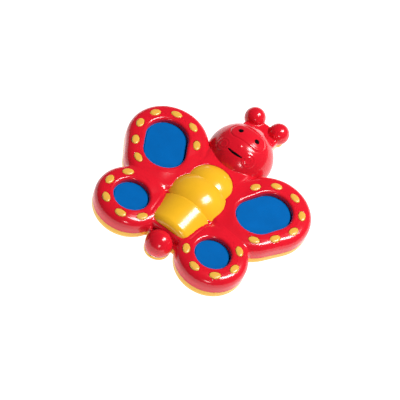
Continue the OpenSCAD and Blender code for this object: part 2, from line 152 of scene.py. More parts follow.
# Body cover: lobes about one low axis
AXIS_Z = 1.0
FRONT = (0.0, 12.0, AXIS_Z)
FRONT_R = 17.75
MIDDLE = (0.0, 0.5, AXIS_Z)
MIDDLE_R = 19.7
MIDDLE_FRONT_Y = 9.6
COLLAR_Y = -8.4
COLLAR_R = 18.13
BARREL_DROP = 1.35
BARREL_ROUND = 3.5
COLLAR_ROUND = 1.0
LOBE_ROUND = 1.1
CREASE = 0.22
BARREL_END_Y = low("body_cover", Y)
COVER_WALL = 1.8

# Screws, on the right side and on the middle line
SCREWS = [(9.0, 48.0), (0.0, TAIL[Y]), (13.9, 27.2), (22.0, -6.0)]
SCREW_R = 1.4
SCREW_TIP_Z = 11.7
SCREW_HEAD_R = 2.8
SCREW_HEAD_Z = 2.1
BOSS_R = 2.8
POST_R = 3.6

# Fits between the moulded parts
PUSH_FIT = 0.12
GUIDE_FIT = 0.1
EYE_FIT = 0.03
BALL_FIT = 0.15

STEP = 0.47


# ---- Fields: distances in millimetres, negative inside, for arrays of points with x folded to +


def soft_min(a, b, k):
    h = np.clip(0.5 + 0.5 * (b - a) / k, 0, 1)
    return b + (a - b) * h - k * h * (1 - h)


def soft_max(a, b, k):
    return -soft_min(-a, -b, k)


def round_max(a, b, r, power=2.0):
    """Inside both a and b, with a rounded edge where they meet."""
    u = np.maximum(a + r, 0)
    v = np.maximum(b + r, 0)
    return np.minimum(np.maximum(a, b), -r) + (u**power + v**power) ** (1 / power)


def smooth_step(value, start, end):
    t = np.clip((value - start) / (end - start), 0, 1)
    return t * t * (3 - 2 * t)


def ball(p, centre, r):
    return np.sqrt(sum((p[i] - centre[i]) ** 2 for i in range(3))) - r


def circle(p, centre, r):
    return np.hypot(p[0] - centre[0], p[1] - centre[1]) - r


def stadium(p, centre, half, r, tilt):
    c, s = math.cos(tilt), math.sin(tilt)
    u = (p[0] - centre[0]) * c + (p[1] - centre[1]) * s
    v = (p[1] - centre[1]) * c - (p[0] - centre[0]) * s
    return np.hypot(np.maximum(np.abs(u) - half, 0), v) - r


def slab(value, start, end):
    """Distance to the layer between two values of one coordinate."""
    return np.maximum(start - value, value - end)


def round_box(p, lows, highs, r):
    inset = [slab(p[i], lows[i], highs[i]) + r for i in range(3)]
    outside = np.sqrt(sum(np.maximum(d, 0) ** 2 for d in inset))
    return outside + np.minimum(np.maximum(np.maximum(*inset[:2]), inset[2]), 0) - r


def tube_along_y(p, centre, r):
    return np.hypot(p[0] - centre[0], p[2] - centre[1]) - r


def window_gap(p):
    """Distance outwards from the nearer window's edge."""
    return np.minimum(stadium(p, **UPPER_WINDOW), circle(p, **LOWER_WINDOW))


def wing_outline(p):
    wings = soft_min(stadium(p, **UPPER_WING), circle(p, **LOWER_WING), WING_FILLET)
    block = np.maximum(p[0] - BLOCK_HALF, slab(p[1], *BLOCK_Y))
    return soft_min(wings, block, BLOCK_FILLET)


def stud_line(p):
    """Distance from the line that the studs lie on, on the wings' outer side."""
    upper = np.abs(
        stadium(p, UPPER_WINDOW["centre"], UPPER_WINDOW["half"], 0, UPPER_WINDOW["tilt"])
        - UPPER_STUD_R
    )
    lower = np.abs(circle(p, LOWER_WINDOW["centre"], LOWER_STUD_R))
    inner = MIDLINE_HALF - p[0]
    return np.minimum(upper, lower) + np.maximum(inner, 0) * MIDLINE_SHARE


def top_height(p):
    """Height of the wings' top: a rim on the stud line, low rings round the windows, a flat deck."""
    behind, before = (
        smooth_step(p[0], *zone["x"]) * smooth_step(p[1], *zone["y"])
        for zone in (BEHIND_BODY, BEFORE_BODY)
    )
    rim = smooth_step(stud_line(p), *RIM_FADE) * (1 - np.maximum(behind, before))
    gap = window_gap(p)
    ring = RING_RISE * smooth_step(gap, *RING_FADE)
    crest = CREST_SLOPE * np.maximum(gap - CREST_GAP, 0) * rim
    return DECK_Z + (RIM_Z - DECK_Z) * np.maximum(rim, ring) - np.minimum(crest, CREST_DROP)


def bump(distance, width):
    return np.exp(-((distance / width) ** 2))


# Face: the relief's heights and widths are in millimetres
FACE_FADE = (12, 15)
EYE_X = 5.2
MASK_R = 5.4
MASK_Y = HEAD[Y] + 1.9
MASK_GROOVE = dict(depth=0.22, width=0.42)
MASK_EDGE = dict(inset=0.9, rise=0.10, width=0.6)
CHEEK = (8.0, 34.1, 20.0)
CHEEK_RISE = 0.17
CHEEK_RINGS = [(3.4, 0.55), (1.8, 0.5)]
NOSE = (0.0, 36.3, 23.4)
NOSE_RISE = 0.35
NOSE_WIDTH = 1.0
BROW_Y = 8.6
BROW_BOW = 0.035
BROW_RISE = 0.22
BROW_WIDTH = 0.6
BROW_END = (9.5, 7.5)


def head_relief(p):
    """Raised and sunk details of the face, in millimetres outwards."""
    mask = np.hypot(np.maximum(p[0] - EYE_X, 0), p[1] - MASK_Y) - MASK_R
    relief = -MASK_GROOVE["depth"] * bump(mask, MASK_GROOVE["width"])
    relief = relief + MASK_EDGE["rise"] * bump(mask + MASK_EDGE["inset"], MASK_EDGE["width"])
    cheek = ball(p, CHEEK, 0)
    for r, width in CHEEK_RINGS:
        relief = relief + CHEEK_RISE * bump(cheek - r, width)
    relief = relief + NOSE_RISE * bump(ball(p, NOSE, 0), NOSE_WIDTH)
    brow = p[1] - HEAD[Y] - BROW_Y + BROW_BOW * p[0] ** 2
    relief = relief + BROW_RISE * bump(brow, BROW_WIDTH) * smooth_step(p[0], *BROW_END)
    return relief * smooth_step(p[2], *FACE_FADE)


def head(p):
    wide = (p[0] / HEAD_WIDER, (p[1] - HEAD[Y]) / HEAD_LONGER + HEAD[Y], p[2])
    return ball(wide, HEAD, HEAD_R) - head_relief(p)


FAR = 99.0
CROWN_HALF = 10.6
CROWN_Y = (54.0, 69.8)
CROWN_TOP = 11.0
CROWN_ROUND = 1.6


def crown_block(p):
    return round_box(p, (-FAR, CROWN_Y[0], -FAR), (CROWN_HALF, CROWN_Y[1], CROWN_TOP), CROWN_ROUND)


WEB_HALF = 9.3
WEB_BACK_Y = -31.0
WEB_FRONT_Y = -20.0
WEB_TOP = 8.6
WEB_ROUND = 1.0
TAIL_DECK_FRONT_Y = -18.0
TAIL_DECK_ROUND = 1.4
TAIL_DECK_Y = -28.6
TAIL_DECK_TOP = 13.4
TAIL_RIDGE = dict(r=8.8, z=9.0, thick=1.15)


def tail_web(p):
    web = round_box(p, (-FAR, WEB_BACK_Y, -FAR), (WEB_HALF, WEB_FRONT_Y, WEB_TOP), WEB_ROUND)
    deck_far = (WEB_HALF, TAIL_DECK_FRONT_Y, TAIL_DECK_TOP)
    deck = round_box(p, (-FAR, TAIL_DECK_Y, -FAR), deck_far, TAIL_DECK_ROUND)
    round_ball = np.hypot(p[0], p[1] - TAIL[Y]) - TAIL_RIDGE["r"]
    ridge = np.hypot(round_ball, p[2] - TAIL_RIDGE["z"]) - TAIL_RIDGE["thick"]
    ridge = np.maximum(ridge, WEB_BACK_Y - p[1])
    return soft_min(soft_min(web, deck, TAIL_FILLET), ridge, RIDGE_FILLET)


def cover_lobes(p):
    front = ball(p, FRONT, FRONT_R)
    centre = round_max(ball(p, MIDDLE, MIDDLE_R), p[1] - MIDDLE_FRONT_Y, LOBE_ROUND)
    reach = np.clip((COLLAR_Y - p[1]) / (COLLAR_Y - BARREL_END_Y), 0, 1)
    barrel = tube_along_y(p, (0, AXIS_Z), COLLAR_R) + BARREL_DROP * reach
    barrel = round_max(barrel, p[1] - COLLAR_Y, COLLAR_ROUND)
    barrel = round_max(barrel, BARREL_END_Y - p[1], BARREL_ROUND)
    return soft_min(soft_min(front, centre, CREASE), barrel, CREASE)


def stud_hole(p, grow):
    """Nearest stud's oval, as a plan distance, grown by grow."""
    best = np.full(np.shape(p[0]), FAR)
    for at, heading in stud_places():
        u = (p[0] - at[0]) * math.cos(heading) + (p[1] - at[1]) * math.sin(heading)
        v = (p[1] - at[1]) * math.cos(heading) - (p[0] - at[0]) * math.sin(heading)
        a, b = STUD_LEN / 2 + grow, STUD_WID / 2 + grow
        k = np.sqrt((u / a) ** 2 + (v / b) ** 2)
        slope = np.sqrt((u / a**2) ** 2 + (v / b**2) ** 2) + 1e-9
        best = np.minimum(best, (k - 1) * k / slope)
    return best


def edge_point(s, r, half):
    """Point and heading at distance s along a stadium's edge, clockwise from its far straight."""
    turn = math.pi * r
    if s < 0:
        return (half + s, r), 0.0
    if s < turn:
        a = math.pi / 2 - s / r
        return (half + r * math.cos(a), r * math.sin(a)), a - math.pi / 2
    if s < turn + 2 * half:
        return (half - (s - turn), -r), math.pi
    a = -math.pi / 2 - (s - turn - 2 * half) / r
    return (-half + r * math.cos(a), r * math.sin(a)), a - math.pi / 2


def placed(point, heading, centre, tilt):
    c, s = math.cos(tilt), math.sin(tilt)
    at = (centre[0] + point[0] * c - point[1] * s, centre[1] + point[0] * s + point[1] * c)
    return at, heading + tilt


def upper_stud_places():
    found = []
    for i in range(UPPER_STUDS):
        spot = edge_point(UPPER_STUD_START + i * STUD_PITCH, UPPER_STUD_R, UPPER_WINDOW["half"])
        found.append(placed(*spot, UPPER_WINDOW["centre"], UPPER_WINDOW["tilt"]))
    return found


def lower_stud_places():
    found = []
    for i in range(LOWER_STUDS):
        spot = edge_point(i * STUD_PITCH, LOWER_STUD_R, 0)
        found.append(placed(*spot, LOWER_WINDOW["centre"], LOWER_STUD_TILT))
    return found


def stud_places():
    return upper_stud_places() + lower_stud_places()


def screw_posts(p, r):
    return np.minimum.reduce([circle(p, at, r) for at in SCREWS])


# Cord guide: a neck between two flanges, and the cord's own way through the shells
GUIDE_Y = (low("cord_guide", Y), high("cord_guide", Y))
GUIDE_BORE = 1.4
GUIDE_NECK = 2.1
GUIDE_FLANGE = 2.7
FLANGE_T = 1.0
CORD_WAY_R = 1.6


def cord_way(p, grow):
    """The cord's bore and the guide's seat, along Y at the joint's height."""
    axis = (0, JOINT_Z)
    back, front = GUIDE_Y
    flange = tube_along_y(p, axis, GUIDE_FLANGE + grow)
    bore = np.maximum(tube_along_y(p, axis, CORD_WAY_R), HEAD[Y] - p[1])
    neck = np.maximum(tube_along_y(p, axis, GUIDE_NECK + grow), back - grow - p[1])
    inner = np.maximum(flange, slab(p[1], back - grow, back + FLANGE_T + grow))
    outer = np.maximum(flange, front - FLANGE_T - grow - p[1])
    return np.minimum.reduce([bore, neck, inner, outer])


def red_main(p):
    body = round_max(wing_outline(p), p[2] - top_height(p), TOP_ROUND, TOP_POWER)
    body = soft_min(body, tail_web(p), TAIL_FILLET)
    body = soft_min(body, head(p), HEAD_FILLET)
    return soft_min(body, crown_block(p), CROWN_FILLET)


GROOVE_GAP = 1.5
GROOVE_DEPTH = 0.22
GROOVE_WIDTH = 0.45
GROOVE_ENDS = [(-8.0, -10.5), (-27.0, -24.0)]


def groove_round_cover(p):
    """A fine groove in the deck just outside the rear segment."""
    side = np.abs(cover_lobes((p[0], p[1], np.full_like(p[2], DECK_Z))) - GROOVE_GAP)
    behind = smooth_step(p[1], *GROOVE_ENDS[0]) * smooth_step(p[1], *GROOVE_ENDS[1])
    return GROOVE_DEPTH * bump(side, GROOVE_WIDTH) * behind


BOSS_STEP = 0.1
HOLE_START = 0.4
COVER_EDGE = 0.25
FEELER_BORE_R = 3.2
FEELER_BORE_Z = 12.4


def red_field(p):
    p = (np.abs(p[0]), p[1], p[2])
    main = red_main(p) + groove_round_cover(p)
    feeler = ball(p, FEELER, FEELER_R)
    tail = ball(p, TAIL, TAIL_R)
    upper = soft_min(soft_min(main, feeler, FEELER_FILLET), tail, BALL_FILLET)
    shape = np.maximum(upper, JOINT_Z - p[2])
    shape = np.minimum(shape, np.maximum(feeler, FEELER_CUT_Z - p[2]))
    shape = np.minimum(shape, np.maximum(tail, TAIL_CUT_Z - p[2]))
    gap = window_gap(p)
    shape = np.maximum(shape, -(main + WALL))
    solid = np.maximum(upper, JOINT_Z + BOSS_STEP - p[2])
    boss = np.maximum(screw_posts(p, BOSS_R), solid)
    collar = np.maximum(np.maximum(gap - COLLAR_W, COLLAR_Z - p[2]), solid)
    shape = np.minimum(np.minimum(shape, boss), collar)
    lip = round_max(-gap, p[2] - top_height(p), LIP_R, LIP_POWER)
    shape = np.maximum(shape, np.where(gap < LIP_REACH, lip, -FAR))
    holes = np.maximum(stud_hole(p, PUSH_FIT), STRIP_Z - HOLE_START - p[2])
    shape = np.maximum(shape, -holes)
    shape = soft_max(shape, -(cover_lobes(p) - PUSH_FIT), COVER_EDGE)
    pilot = np.maximum(screw_posts(p, SCREW_R), p[2] - SCREW_TIP_Z)
    bore = np.maximum(circle(p, FEELER, FEELER_BORE_R), p[2] - FEELER_BORE_Z)
    shape = np.maximum(shape, -np.minimum(pilot, bore))
    shape = np.maximum(shape, -eye_socket(p))
    return np.maximum(shape, -cord_way(p, GUIDE_FIT))


EYE_R = 1.4
EYE_DEPTH = 1.3
EYE_OUT = math.radians(17)
EYE_AHEAD = math.radians(6)
EYE_AXIS = (
    math.sin(EYE_OUT) * math.cos(EYE_AHEAD),
    math.sin(EYE_AHEAD),
    math.cos(EYE_OUT) * math.cos(EYE_AHEAD),
)


def eye_socket(p):
    along = sum((p[i] - HEAD[i]) * EYE_AXIS[i] for i in range(3))
    off = np.sqrt(np.maximum(sum((p[i] - HEAD[i]) ** 2 for i in range(3)) - along**2, 0))
    return np.maximum(off - EYE_R - EYE_FIT, HEAD_R - EYE_DEPTH - along)


YELLOW_WEB_HALF = 9.5
CROWN_FOOT_Z = 3.0
CROWN_FOOT_ROUND = 0.9
TAIL_FOOT_R = 7.1
TAIL_FOOT_ROUND = 1.5
NUB_R = 4.2
NUB_Z = 2.9
NUB_ROUND = 1.2
POST_FOOT_Z = 0.5
SHANK_GAP = 0.2
POCKET_R = 17.1
POCKET_Z = 2.3
SPINDLE_BOSS_R = 4.7
SPINDLE_BOSS_TOP = 3.1
SPINDLE_CORE_R = 1.25
PROP_R = 2.7
PROP_HALF_WALL = 0.7
PROP_X = 6.0
FLOOR_OVERLAP_Z = 1.0
PANEL_SEAT_DROP = 1.95
REEL_AXIS = (0.0, 0.0)


def yellow_outline(p):
    wings = soft_min(wing_outline(p), circle(p, HEAD, HEAD_R), OUTLINE_FILLET)
    web = np.maximum(p[0] - YELLOW_WEB_HALF, slab(p[1], WEB_BACK_Y, TAIL_DECK_FRONT_Y))
    return soft_min(wings, web, OUTLINE_FILLET)


def yellow_main(p):
    return round_max(yellow_outline(p), -p[2], FOOT_ROUND)


def prop_spots():
    """Posts that hold the panels up: two under each upper panel, one under each lower one."""
    upper = [
        placed((x, 0), 0, UPPER_WINDOW["centre"], UPPER_WINDOW["tilt"])[0] for x in (-PROP_X, PROP_X)
    ]
    return upper + [LOWER_WINDOW["centre"]]


def yellow_field(p):
    p = (np.abs(p[0]), p[1], p[2])
    top = JOINT_Z - SEAM
    main = yellow_main(p)
    crown_far = (CROWN_HALF, CROWN_Y[1], FAR)
    crown = round_box(p, (-FAR, CROWN_Y[0], CROWN_FOOT_Z), crown_far, CROWN_FOOT_ROUND)
    foot = round_max(circle(p, TAIL, TAIL_FOOT_R), -p[2], TAIL_FOOT_ROUND)
    nub = round_max(circle(p, FEELER, NUB_R), NUB_Z - p[2], NUB_ROUND)
    outer = soft_min(soft_min(main, crown, PUCK_FILLET), foot, BALL_FILLET)
    outer = soft_min(outer, nub, BALL_FILLET)
    outer = np.maximum(outer, -p[2])
    shape = np.maximum(outer, p[2] - top)
    shape = np.maximum(shape, -(main + WALL))
    pocket = np.maximum(circle(p, REEL_AXIS, POCKET_R), POCKET_Z - p[2])
    shape = np.maximum(shape, -pocket)
    post = np.maximum(screw_posts(p, POST_R), slab(p[2], POST_FOOT_Z, top))
    spindle = circle(p, REEL_AXIS, SPINDLE_BOSS_R)
    spindle = np.maximum(spindle, slab(p[2], FLOOR_OVERLAP_Z, SPINDLE_BOSS_TOP))
    props = np.minimum.reduce([np.abs(circle(p, at, PROP_R)) - PROP_HALF_WALL for at in prop_spots()])
    props = np.maximum(props, slab(p[2], FLOOR_OVERLAP_Z, PANEL_Z - PANEL_SEAT_DROP))
    shape = np.minimum.reduce([shape, np.maximum(post, outer), spindle, props])
    shank = screw_posts(p, SCREW_R + SHANK_GAP)
    sink = np.maximum(screw_posts(p, SCREW_HEAD_R), p[2] - SCREW_HEAD_Z)
    core = np.maximum(circle(p, REEL_AXIS, SPINDLE_CORE_R), FLOOR_OVERLAP_Z - p[2])
    shape = np.maximum(shape, -np.minimum.reduce([shank, sink, core]))
    seats = np.minimum(ball(p, FEELER, FEELER_R + BALL_FIT), ball(p, TAIL, TAIL_R + BALL_FIT))
    return np.maximum(shape, -np.minimum(seats, cord_way(p, GUIDE_FIT)))


DOME_Z = 11.6
FLANGE_Z = (11.2, 12.3)
FLANGE_FRONT_R = 15.1
FLANGE_MIDDLE_R = 17.9
FLANGE_NOTCH_R = 3.0
WAIST_HALF = 12.8
WAIST_Y = (-20.5, -4.0)
WAIST_OVERLAP = 0.5


def cover_field(p):
    p = (np.abs(p[0]), p[1], p[2])
    lobes = cover_lobes(p)
    dome = np.maximum(lobes, DOME_Z - p[2])
    wide = np.minimum(circle(p, FRONT, FLANGE_FRONT_R), circle(p, MIDDLE, FLANGE_MIDDLE_R))
    wide = np.maximum(wide, WAIST_Y[1] - p[1])
    narrow = np.maximum(p[0] - WAIST_HALF, slab(p[1], WAIST_Y[0], WAIST_Y[1] + WAIST_OVERLAP))
    flange = np.maximum(np.minimum(wide, narrow), slab(p[2], *FLANGE_Z))
    flange = np.maximum(flange, -screw_posts(p, FLANGE_NOTCH_R))
    return np.maximum(np.minimum(dome, flange), -(lobes + COVER_WALL))


# ---- Dual contouring

LEAST_SLOPE = 0.3
PULL = 0.06
OVERSHOOT = 0.1
CORNER_INSET = 0.3
SAME_SIDE = 0.75


def gradient(field, points, h=0.02):
    columns = []
    for axis in range(3):
        shift = np.zeros(3)
        shift[axis] = h
        ahead = field(tuple((points + shift).T))
        behind = field(tuple((points - shift).T))
        columns.append((ahead - behind) / (2 * h))
    return np.stack(columns, 1)


def sample(field, lows, shape, step):
    """Field values on a grid that is symmetric about x = 0, evaluated for x >= 0 and mirrored."""
    half = shape[0] // 2
    xs = np.arange(half + 1) * step
    ys = lows[1] + np.arange(shape[1]) * step
    zs = lows[2] + np.arange(shape[2]) * step
    values = np.empty((half + 1, shape[1], shape[2]))
    for i, x in enumerate(xs):
        yy, zz = np.meshgrid(ys, zs, indexing="ij")
        values[i] = field((np.full_like(yy, x), yy, zz))
    return np.concatenate([values[:0:-1], values])


def take(values, index):
    return values[index[:, 0], index[:, 1], index[:, 2]]


def contour(field, lows, highs, step):
    """Vertices and quads of the field's zero surface, one vertex in each cell that it crosses."""
    half = int(math.ceil(highs[0] / step)) + 1
    shape = (2 * half + 1, *(int(math.ceil((highs[i] - lows[i]) / step)) + 2 for i in (1, 2)))
    origin = np.array([-half * step, lows[1], lows[2]])
    values = sample(field, origin, shape, step)
    inside = values < 0
    cells = np.full(np.array(shape) - 1, -1)
    sums, quads = 0, []
    corner = [slice(None, -1), slice(1, None)]
    for i in (0, 1):
        for j in (0, 1):
            for k in (0, 1):
                sums = sums + inside[corner[i], corner[j], corner[k]].astype(np.int8)
    active = (sums > 0) & (sums < 8)
    cells[active] = np.arange(active.sum())
    count = int(active.sum())
    ata = np.zeros((count, 3, 3))
    atb = np.zeros((count, 3))
    mass = np.zeros((count, 4))
    for axis in range(3):
        unit = np.eye(3, dtype=int)[axis]
        a_side = [slice(None)] * 3
        b_side = [slice(None)] * 3
        a_side[axis] = slice(None, -1)
        b_side[axis] = slice(1, None)
        crossing = inside[tuple(a_side)] != inside[tuple(b_side)]
        index = np.argwhere(crossing)
        u, v = [i for i in range(3) if i != axis]
        keep = (index[:, u] > 0) & (index[:, v] > 0)
        keep &= (index[:, u] < shape[u] - 1) & (index[:, v] < shape[v] - 1)
        index = index[keep]
        fa, fb = take(values, index), take(values, index + unit)
        t = fa / (fa - fb)
        points = origin + (index + t[:, None] * unit) * step
        normal = gradient(field, points)
        level = field(tuple(points.T))
        size = np.maximum(np.linalg.norm(normal, axis=1), 1e-6)
        slope = np.where(np.abs(normal[:, axis]) > LEAST_SLOPE, normal[:, axis], np.inf)
        points = points - unit * np.clip(level / slope, -step, step)[:, None]
        normal = normal / size[:, None]
        around = []
        for du, dv in ((-1, -1), (0, -1), (0, 0), (-1, 0)):
            cell = index.copy()
            cell[:, u] += du
            cell[:, v] += dv
            owner = take(cells, cell)
            around.append(owner)
            np.add.at(ata, owner, normal[:, :, None] * normal[:, None, :])
            np.add.at(atb, owner, normal * np.sum(normal * points, 1)[:, None])
            np.add.at(mass, owner, np.concatenate([points, np.ones((len(points), 1))], 1))
        around = np.stack(around, 1)
        flip = (fa < 0) != (axis == 1)
        around[~flip] = around[~flip][:, ::-1]
        quads.append(around)
    centre = mass[:, :3] / np.maximum(mass[:, 3:], 1)
    system = ata + PULL * np.eye(3)
    target = atb + PULL * centre
    vertices = np.linalg.solve(system, target[:, :, None])[:, :, 0]
    cell_low = origin + np.argwhere(active) * step
    vertices = np.clip(vertices, cell_low - OVERSHOOT * step, cell_low + (1 + OVERSHOOT) * step)
    return vertices, np.concatenate(quads)


def loop_normals(field, mesh):
    """The field's own normals, read just inside each face's corner so that hard edges stay hard."""
    count = len(mesh.loops)
    vertex = np.empty(count, np.int32)
    mesh.loops.foreach_get("vertex_index", vertex)
    co = np.empty(len(mesh.vertices) * 3)
    mesh.vertices.foreach_get("co", co)
    co = co.reshape(-1, 3) / MM
    total = np.empty(len(mesh.polygons), np.int32)
    mesh.polygons.foreach_get("loop_total", total)
    centre = np.empty(len(mesh.polygons) * 3)
    mesh.polygons.foreach_get("center", centre)
    flat = np.empty(len(mesh.polygons) * 3)
    mesh.polygons.foreach_get("normal", flat)
    centre = np.repeat(centre.reshape(-1, 3) / MM, total, axis=0)
    flat = np.repeat(flat.reshape(-1, 3), total, axis=0)
    points = co[vertex] * (1 - CORNER_INSET) + centre * CORNER_INSET
    normal = gradient(field, points, 0.04)
    normal /= np.maximum(np.linalg.norm(normal, axis=1), 1e-6)[:, None]
    agree = np.sum(normal * flat, 1) > SAME_SIDE
    return np.where(agree[:, None], normal, flat)


def field_piece(name, field, lows, highs, material, replaced, slot_name):
    vertices, quads = contour(field, lows, highs, STEP)
    mesh = bpy.data.meshes.new(name)
    mesh.from_pydata((vertices * MM).tolist(), [], quads.tolist())
    mesh.validate()
    mesh.polygons.foreach_set("use_smooth", np.ones(len(mesh.polygons), bool))
    mesh.normals_split_custom_set(loop_normals(field, mesh).tolist())
    return add_piece(name, mesh, material, replaced)


def add_piece(name, mesh, material, replaced, body="housing"):
    piece = bpy.data.objects.new(name, mesh)
    bpy.context.scene.collection.objects.link(piece)
    mesh.materials.append(material)
    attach(piece, body)
    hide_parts(*replaced)
    return piece


# ---- Materials

RANGE_SOCKETS = ("From Min", "From Max", "To Min", "To Max")


class Look:
    """A material being built: its node tree and main shader. Places are in metres, sizes in mm."""

    def __init__(self, name, colour, roughness, **settings):
        self.material = bpy.data.materials.new(name)
        self.material.use_nodes = True
        self.tree = self.material.node_tree
        self.shader = self.tree.nodes["Principled BSDF"]
        self.shader.inputs["Base Color"].default_value = (*colour, 1)
        self.shader.inputs["Roughness"].default_value = roughness
        for socket, value in settings.items():
            self.shader.inputs[socket.replace("_", " ")].default_value = value
        self.place = self.tree.nodes.new("ShaderNodeTexCoord").outputs["Object"]

    def link(self, a, b):
        self.tree.links.new(a, b)

    def noise(self, millimetres, detail=3.0, rough=0.5, stretch=None):
        """A noise whose patches are about that many millimetres across."""
        node = self.tree.nodes.new("ShaderNodeTexNoise")
        node.inputs["Scale"].default_value = 1 / (millimetres * MM)
        node.inputs["Detail"].default_value = detail
        node.inputs["Roughness"].default_value = rough
        source = self.place
        if stretch:
            mapping = self.tree.nodes.new("ShaderNodeMapping")
            mapping.inputs["Scale"].default_value = stretch
            self.link(source, mapping.inputs["Vector"])
            source = mapping.outputs["Vector"]
        self.link(source, node.inputs["Vector"])
        return node.outputs["Fac"]

    def spread(self, source, in_low, in_high, out_low, out_high):
        node = self.tree.nodes.new("ShaderNodeMapRange")
        for socket, value in zip(RANGE_SOCKETS, (in_low, in_high, out_low, out_high)):
            node.inputs[socket].default_value = value
        self.link(source, node.inputs["Value"])
        return node.outputs["Result"]

    def mix(self, amount, first, second):
        node = self.tree.nodes.new("ShaderNodeMix")
        node.data_type = "RGBA"
        self.link(amount, node.inputs["Factor"])
        for socket, value in ((node.inputs["A"], first), (node.inputs["B"], second)):
            if isinstance(value, tuple):
                socket.default_value = (*value, 1)
            else:
                self.link(value, socket)
        return node.outputs["Result"]

    def edges(self, start, end):
        """0 on flat ground, 1 on sharp outer edges."""
        geometry = self.tree.nodes.new("ShaderNodeNewGeometry")
        return self.spread(geometry.outputs["Pointiness"], start, end, 0, 1)

    def bump(self, source, strength, depth_mm, below=None):
        node = self.tree.nodes.new("ShaderNodeBump")
        node.inputs["Strength"].default_value = strength
        node.inputs["Distance"].default_value = depth_mm * MM
        self.link(source, node.inputs["Height"])
        if below is not None:
            self.link(below, node.inputs["Normal"])
        return node.outputs["Normal"]

    def finish(self, colour=None, roughness=None, normal=None):
        sources = {"Base Color": colour, "Roughness": roughness, "Normal": normal}
        for socket, source in sources.items():
            if source is not None:
                self.link(source, self.shader.inputs[socket])
        return self.material


def shade(colour, factor):
    return tuple(min(1.0, c * factor) for c in colour)


def toward(colour, other, share):
    return tuple(a + (b - a) * share for a, b in zip(colour, other))


def glossy_plastic(name, colour, roughness):
    """Injection-moulded gloss: faint flow clouds, soft orange peel, scuffs on the edges."""
    look = Look(name, colour, roughness, IOR=1.49, Specular_IOR_Level=0.5)
    clouds = look.spread(look.noise(14, 2), 0.3, 0.7, 0, 1)
    specks = look.spread(look.noise(0.9, 4, 0.6), 0.35, 0.75, 0, 0.35)
    tone = look.mix(clouds, shade(colour, 0.95), shade(colour, 1.04))
    tone = look.mix(specks, tone, shade(colour, 0.9))
    worn = look.edges(0.56, 0.68)
    scuffs = look.spread(look.noise(2.5, 5, 0.7), 0.5, 0.75, 0, 1)
    rub = look.tree.nodes.new("ShaderNodeMath")
    rub.operation = "MULTIPLY"
    look.link(worn, rub.inputs[0])
    look.link(scuffs, rub.inputs[1])
    tone = look.mix(rub.outputs["Value"], tone, toward(colour, (1, 0.9, 0.85), 0.14))
    rough = look.spread(look.noise(6, 4, 0.6), 0.3, 0.8, roughness * 0.85, roughness * 1.35)
    peel = look.bump(look.noise(4.5, 1), 0.06, 0.10)
    fine = look.bump(look.noise(0.6, 2), 0.03, 0.02, peel)
    return look.finish(tone, rough, fine)


def matt_plastic(name, colour, roughness):
    """Spark-eroded matt face: fine even grain, with painted glints as lighter specks where it would
    catch the light, and painted shade in darker pits.
    """
    look = Look(name, colour, roughness, IOR=1.47, Specular_IOR_Level=0.04)
    grain = look.noise(0.32, 3, 0.65)
    clouds = look.spread(look.noise(9, 2), 0.3, 0.7, 0, 1)
    tone = look.mix(clouds, shade(colour, 0.94), shade(colour, 1.06))
    # Painted glints: lighter specks in the colour where the grain would catch the light.
    painted_glints = look.spread(grain, 0.52, 0.78, 0, 0.5)
    tone = look.mix(painted_glints, tone, shade(colour, 1.3))
    # Painted shade: darker spots where pits in the grain would lie in shade.
    painted_pit_shade = look.spread(look.noise(0.5, 2), 0.25, 0.42, 0.5, 0)
    tone = look.mix(painted_pit_shade, tone, shade(colour, 0.7))
    rough = look.spread(look.noise(3, 3), 0.3, 0.7, roughness * 0.92, roughness * 1.1)
    return look.finish(tone, rough, look.bump(grain, 0.5, 0.05))


def metal(name, colour, roughness, brushed):
    look = Look(name, colour, roughness, Metallic=1.0)
    lines = look.noise(0.6, 4, 0.6, brushed)
    tone = look.mix(look.spread(lines, 0.3, 0.7, 0, 1), shade(colour, 0.88), shade(colour, 1.08))
    stain = look.spread(look.noise(5, 3), 0.45, 0.8, 0, 0.4)
    tone = look.mix(stain, tone, shade(colour, 0.75))
    rough = look.spread(lines, 0.3, 0.7, roughness * 0.8, roughness * 1.3)
    return look.finish(tone, rough, look.bump(lines, 0.25, 0.02))


RED = glossy_plastic("red_gloss_look", (0.75, 0.010, 0.025), 0.17)
YELLOW = glossy_plastic("yellow_gloss_look", (0.95, 0.50, 0.02), 0.18)
STUD_YELLOW = glossy_plastic("stud_yellow_look", (0.84, 0.46, 0.065), 0.22)
BLUE = matt_plastic("blue_matte_look", (0.0, 0.122, 0.42), 0.62)
BLACK = matt_plastic("black_look", (0.002, 0.002, 0.003), 0.5)
ACETAL = matt_plastic("ivory_acetal_look", (0.82, 0.78, 0.68), 0.42)
SPRING = metal("spring_steel_look", (0.30, 0.33, 0.40), 0.3, (1, 1, 12))
ZINC = metal("zinc_steel_look", (0.66, 0.67, 0.69), 0.32, (1, 1, 1))

for node, look in {
    "panel_upper_right": BLUE, "panel_upper_left": BLUE,
    "panel_lower_right": BLUE, "panel_lower_left": BLUE,
    "reel_drum": ACETAL, "reel_cover": ACETAL, "spring_arbor": ACETAL,
    "power_spring": SPRING, "thrust_washer": ZINC, "spindle_screw": ZINC, "case_screws": ZINC,
}.items():
    for material_slot in nodes[node].material_slots:
        material_slot.material = look


# ---- Smaller pieces


def mesh_from(name, vertices, faces):
    mesh = bpy.data.meshes.new(name)
    mesh.from_pydata([tuple(c * MM for c in v) for v in vertices], [], faces)
    mesh.polygons.foreach_set("use_smooth", np.ones(len(mesh.polygons), bool))
    mesh.set_sharp_from_angle(angle=math.radians(50))
    return mesh


def stack_rings(rings):
    """Vertices and faces of closed rings of equal length, capped at both ends."""
    count = len(rings[0])
    vertices = [v for ring in rings for v in ring]
    faces = []
    for i in range(len(rings) - 1):
        for j in range(count):
            k = (j + 1) % count
            faces.append((i * count + j, i * count + k, (i + 1) * count + k, (i + 1) * count + j))
    faces.append(tuple(reversed(range(count))))
    faces.append(tuple(range((len(rings) - 1) * count, len(rings) * count)))
    return vertices, faces


